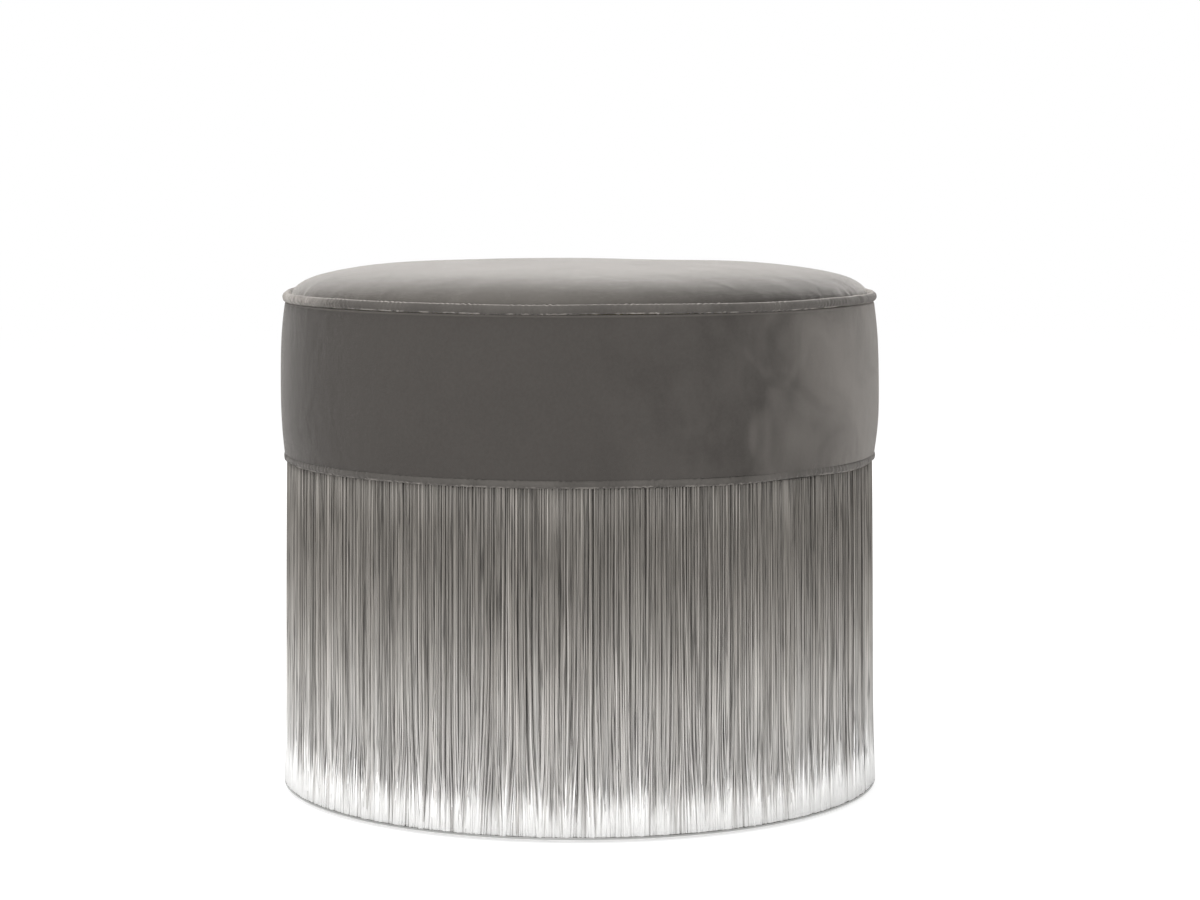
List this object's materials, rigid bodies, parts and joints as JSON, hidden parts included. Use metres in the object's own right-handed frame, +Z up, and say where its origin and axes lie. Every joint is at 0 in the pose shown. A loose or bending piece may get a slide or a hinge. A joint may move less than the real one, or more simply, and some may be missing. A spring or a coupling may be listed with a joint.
{
  "type": "tuffet",
  "caption": "Round upholstered tuffet: domed velvet top, piped seams, padded velvet band and a long fringe that hangs to a thin foot plate.",
  "frame": {"origin": "on the floor, under the centre of the tuffet", "axes": "+Z up along the drum's axis; the tuffet is round, and -Y faces the picture's camera"},
  "size_m": [0.465, 0.465, 0.4056],
  "materials": {
    "velvet": "matte",
    "fringe_yarn": "satin",
    "lining": "matte",
    "dust_cloth": "matte",
    "cotton": "matte",
    "foam": "matte",
    "wadding": "matte",
    "felt": "matte",
    "plywood": "satin",
    "pine": "matte",
    "satin_steel": "satin",
    "zinc": "satin"
  },
  "bodies": {
    "root": {"top_cover": "velvet", "top_piping": "velvet", "top_piping_cord": "cotton", "seat_wadding": "wadding", "seat_foam": "foam", "band_cover": "velvet", "band_foam": "foam", "bottom_piping": "velvet", "bottom_piping_cord": "cotton", "fringe_front": "fringe_yarn", "fringe_right": "fringe_yarn", "fringe_back": "fringe_yarn", "fringe_left": "fringe_yarn", "seat_board": "plywood", "band_shell": "plywood", "middle_ring": "plywood", "skirt_shell": "plywood", "skirt_lining": "lining", "base_board": "plywood", "dust_cover": "dust_cloth", "foot_plate": "satin_steel", "post_1": "pine", "post_2": "pine", "post_3": "pine", "post_4": "pine", "post_5": "pine", "post_6": "pine", "seat_screw_1": "zinc", "seat_screw_2": "zinc", "seat_screw_3": "zinc", "seat_screw_4": "zinc", "seat_screw_5": "zinc", "seat_screw_6": "zinc", "base_screw_1": "zinc", "base_screw_2": "zinc", "base_screw_3": "zinc", "base_screw_4": "zinc", "base_screw_5": "zinc", "base_screw_6": "zinc", "plate_screw_1": "zinc", "plate_screw_2": "zinc", "plate_screw_3": "zinc", "plate_screw_4": "zinc", "plate_screw_5": "zinc", "plate_screw_6": "zinc", "felt_pad_1": "felt", "felt_pad_2": "felt", "felt_pad_3": "felt", "felt_pad_4": "felt", "felt_pad_5": "felt", "felt_pad_6": "felt"}
  },
  "joints": []
}
